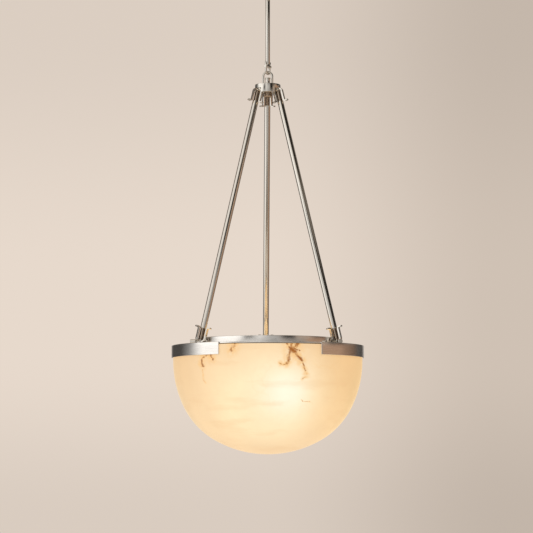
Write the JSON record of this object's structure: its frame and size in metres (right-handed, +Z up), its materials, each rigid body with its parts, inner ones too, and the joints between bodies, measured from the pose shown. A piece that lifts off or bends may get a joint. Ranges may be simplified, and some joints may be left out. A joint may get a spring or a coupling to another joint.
{
  "type": "alabaster bowl pendant",
  "caption": "Ceiling pendant: glowing alabaster bowl in a stepped nickel ring, hung on leaning polished arms from a round hub, linked by loop and shackle to a canopy stem.",
  "frame": {"origin": "centre of the ceiling plate's upper face, on the ceiling plane and on the stem's axis", "axes": "+Z up out of the ceiling, -Y towards the front notch of the ring, +X to the right seen from the front"},
  "size_m": [0.4064, 0.403, 1.0141],
  "materials": {
    "polished_nickel": "polished nickel",
    "brushed_nickel": "nickel, brushed round the ring",
    "zinc_steel": "zinc plated, dull",
    "green_steel": "green ground screw",
    "alabaster": "honed translucent stone with brown veins, lit from inside",
    "rubber": "moulded",
    "porcelain": "glazed white",
    "lamp_cap_metal": "rolled thread shell",
    "frosted_lamp": "frosted"
  },
  "bodies": {
    "ceiling_mount": {"mounting_strap": "zinc_steel", "threaded_nipple": "zinc_steel", "strap_locknut": "zinc_steel", "ground_screw": "green_steel", "stem_coupling": "zinc_steel", "stem_tube": "polished_nickel", "stem_tip": "polished_nickel", "shackle_pin": "polished_nickel"},
    "canopy": {"canopy": "polished_nickel", "slip_ring": "polished_nickel", "slip_ring_screw": "polished_nickel"},
    "shackle": {"shackle": "polished_nickel"},
    "pendant": {"hub_loop": "polished_nickel", "loop_nuts": "zinc_steel", "wire_bushing": "polished_nickel", "hub_cap": "polished_nickel", "hub_body": "polished_nickel", "hub_finial": "polished_nickel", "hub_arm_screws": "zinc_steel", "arm_studs": "zinc_steel", "foot_screws": "zinc_steel", "foot_lock_screws": "polished_nickel", "flange_ring": "brushed_nickel", "collar_ring": "brushed_nickel", "pad_studs": "zinc_steel", "stud_bushes": "rubber", "stud_washers": "zinc_steel", "stud_nuts": "zinc_steel", "rim_gasket": "rubber", "alabaster_bowl": "alabaster", "lamp_spider": "zinc_steel", "spider_screws": "zinc_steel", "cluster_stem": "zinc_steel", "cluster_nuts": "zinc_steel", "cluster_body": "zinc_steel", "lamp_holders": "porcelain", "lamp_caps": "lamp_cap_metal", "lamp_globes": "frosted_lamp", "upper_clasp_back": "polished_nickel", "upper_knuckle_back": "polished_nickel", "arm_tube_back": "polished_nickel", "lower_knuckle_back": "polished_nickel", "lower_clasp_back": "polished_nickel", "arm_foot_back": "polished_nickel", "rim_pad_back": "brushed_nickel", "upper_clasp_left": "polished_nickel", "upper_knuckle_left": "polished_nickel", "arm_tube_left": "polished_nickel", "lower_knuckle_left": "polished_nickel", "lower_clasp_left": "polished_nickel", "arm_foot_left": "polished_nickel", "rim_pad_left": "brushed_nickel", "upper_clasp_right": "polished_nickel", "upper_knuckle_right": "polished_nickel", "arm_tube_right": "polished_nickel", "lower_knuckle_right": "polished_nickel", "lower_clasp_right": "polished_nickel", "arm_foot_right": "polished_nickel", "rim_pad_right": "brushed_nickel"}
  },
  "joints": [
    {"name": "canopy_slide", "type": "slide", "parent": "ceiling_mount", "child": "canopy", "axis": [0, 0, -1], "range_m": [0, 0.09]},
    {"name": "shackle_swing", "type": "hinge", "parent": "ceiling_mount", "child": "shackle", "pos_m": [0, 0, -0.1862], "axis": [0.5299, 0.848, 0], "range_deg": [-25, 25]},
    {"name": "loop_swing", "type": "hinge", "parent": "shackle", "child": "pendant", "pos_m": [0, 0, -0.1981], "axis": [1, 0, 0], "range_deg": [-20, 20]}
  ]
}
